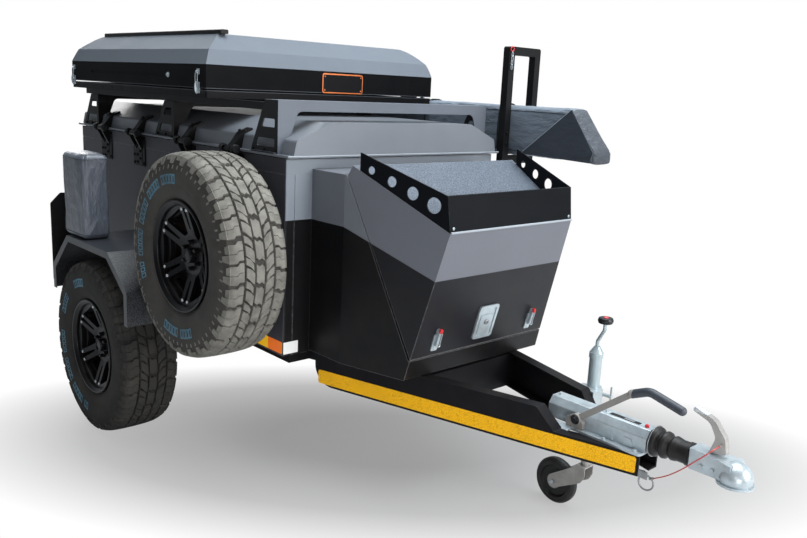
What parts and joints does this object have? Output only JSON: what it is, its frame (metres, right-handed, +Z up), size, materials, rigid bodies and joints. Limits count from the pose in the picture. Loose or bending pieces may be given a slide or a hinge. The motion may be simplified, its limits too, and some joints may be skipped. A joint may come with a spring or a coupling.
{
  "type": "off-road camping trailer",
  "caption": "Single-axle off-road camping trailer with a steel box body, nose box, raised roof tent, side awning bag, spare wheel and jockey stand.",
  "frame": {"origin": "on the ground, below the middle of the whole trailer", "axes": "+X forward to the hitch, +Y to the trailer's left, +Z up"},
  "size_m": [3.6994, 1.998, 1.838],
  "materials": {
    "tyre": "matt, dusty",
    "rim": "satin black",
    "axle": "satin black",
    "spring": "matt black",
    "chassis": "satin black",
    "drawbar": "satin black",
    "body": "satin two-tone grey over black",
    "fender": "satin black",
    "lamp": "glossy red",
    "bright": "bright zinc",
    "tray": "satin black",
    "lid": "satin grey",
    "hinge": "satin black",
    "portal": "satin grey",
    "tent_base": "satin",
    "tent": "satin light grey with a dark band",
    "hoop": "satin black",
    "canvas": "woven, coated",
    "coupling": "bright zinc",
    "rubber": "matt",
    "casting": "zinc plated",
    "cable": "red coated wire",
    "castor": "matt"
  },
  "bodies": {
    "trailer": {"spare_tyre": "tyre", "spare_rim": "rim", "axle_beam": "axle", "leaf_springs": "spring", "chassis_frame": "chassis", "drawbar_rail_right": "drawbar", "drawbar_rail_left": "drawbar", "drawbar_tie": "drawbar", "body_tub": "body", "tailgate_hinges": "bright", "fender_right": "fender", "fender_left": "fender", "lamp_plates": "fender", "tail_lamps": "lamp", "spare_carrier": "chassis", "nose_base": "body", "hatch_hinges": "bright", "lid_hinge_leaves": "bright", "awning_hoop": "hoop", "awning_cradle": "hoop", "awning_bag": "canvas", "cover_bag": "canvas", "coupling_housing": "coupling", "coupling_bellows": "rubber", "coupling_head": "casting", "coupling_handle": "bright", "handbrake_lever": "bright", "jockey_clamp": "bright", "cable_ring": "bright", "breakaway_cable": "cable"},
    "wheel_right": {"tyre_right": "tyre", "rim_right": "rim"},
    "wheel_left": {"tyre_left": "tyre", "rim_left": "rim"},
    "lid": {"lid_shell": "lid", "lid_hinge_arms": "hinge", "portal_front": "portal", "portals_rear": "portal", "tent_rails": "hinge", "tent_base": "tent_base"},
    "tent_lid": {"tent_shell": "tent", "tent_roof_bar": "bright"},
    "tailgate": {"tailgate": "body"},
    "nose_hatch": {"nose_hatch": "body", "stone_tray": "tray", "hatch_latches": "bright"},
    "jockey_tube": {"jockey_tube": "bright"},
    "jockey_fork": {"jockey_fork": "bright"},
    "jockey_wheel": {"jockey_wheel": "castor"}
  },
  "joints": [
    {"name": "wheel_right_spin", "type": "hinge", "parent": "trailer", "child": "wheel_right", "pos_m": [-0.79765, -0.868, 0.4], "axis": [0, 1, 0], "continuous": true},
    {"name": "wheel_left_spin", "type": "hinge", "parent": "trailer", "child": "wheel_left", "pos_m": [-0.79765, 0.868, 0.4], "axis": [0, 1, 0], "continuous": true},
    {"name": "lid_hinge", "type": "hinge", "parent": "trailer", "child": "lid", "pos_m": [-0.79765, -0.62, 1.352], "axis": [1, 0, 0], "range_deg": [0, 35]},
    {"name": "tent_hinge", "type": "hinge", "parent": "lid", "child": "tent_lid", "pos_m": [-1.05465, 0.657, 1.58275], "axis": [-1, 0, 0], "range_deg": [0, 85]},
    {"name": "tailgate_hinge", "type": "hinge", "parent": "trailer", "child": "tailgate", "pos_m": [-1.83765, 0, 0.59325], "axis": [0, -1, 0], "range_deg": [0, 90]},
    {"name": "hatch_hinge", "type": "hinge", "parent": "trailer", "child": "nose_hatch", "pos_m": [0.38335, 0, 1.326], "axis": [0, -1, 0], "range_deg": [0, 50]},
    {"name": "jockey_lift", "type": "slide", "parent": "trailer", "child": "jockey_tube", "axis": [0, 0, 1], "range_m": [0, 0.2]},
    {"name": "jockey_swivel", "type": "hinge", "parent": "jockey_tube", "child": "jockey_fork", "pos_m": [1.10735, 0.214, 0.24], "axis": [0, 0, 1], "continuous": true},
    {"name": "jockey_spin", "type": "hinge", "parent": "jockey_fork", "child": "jockey_wheel", "pos_m": [0.97935, 0.214, 0.095], "axis": [0, 1, 0], "continuous": true}
  ]
}
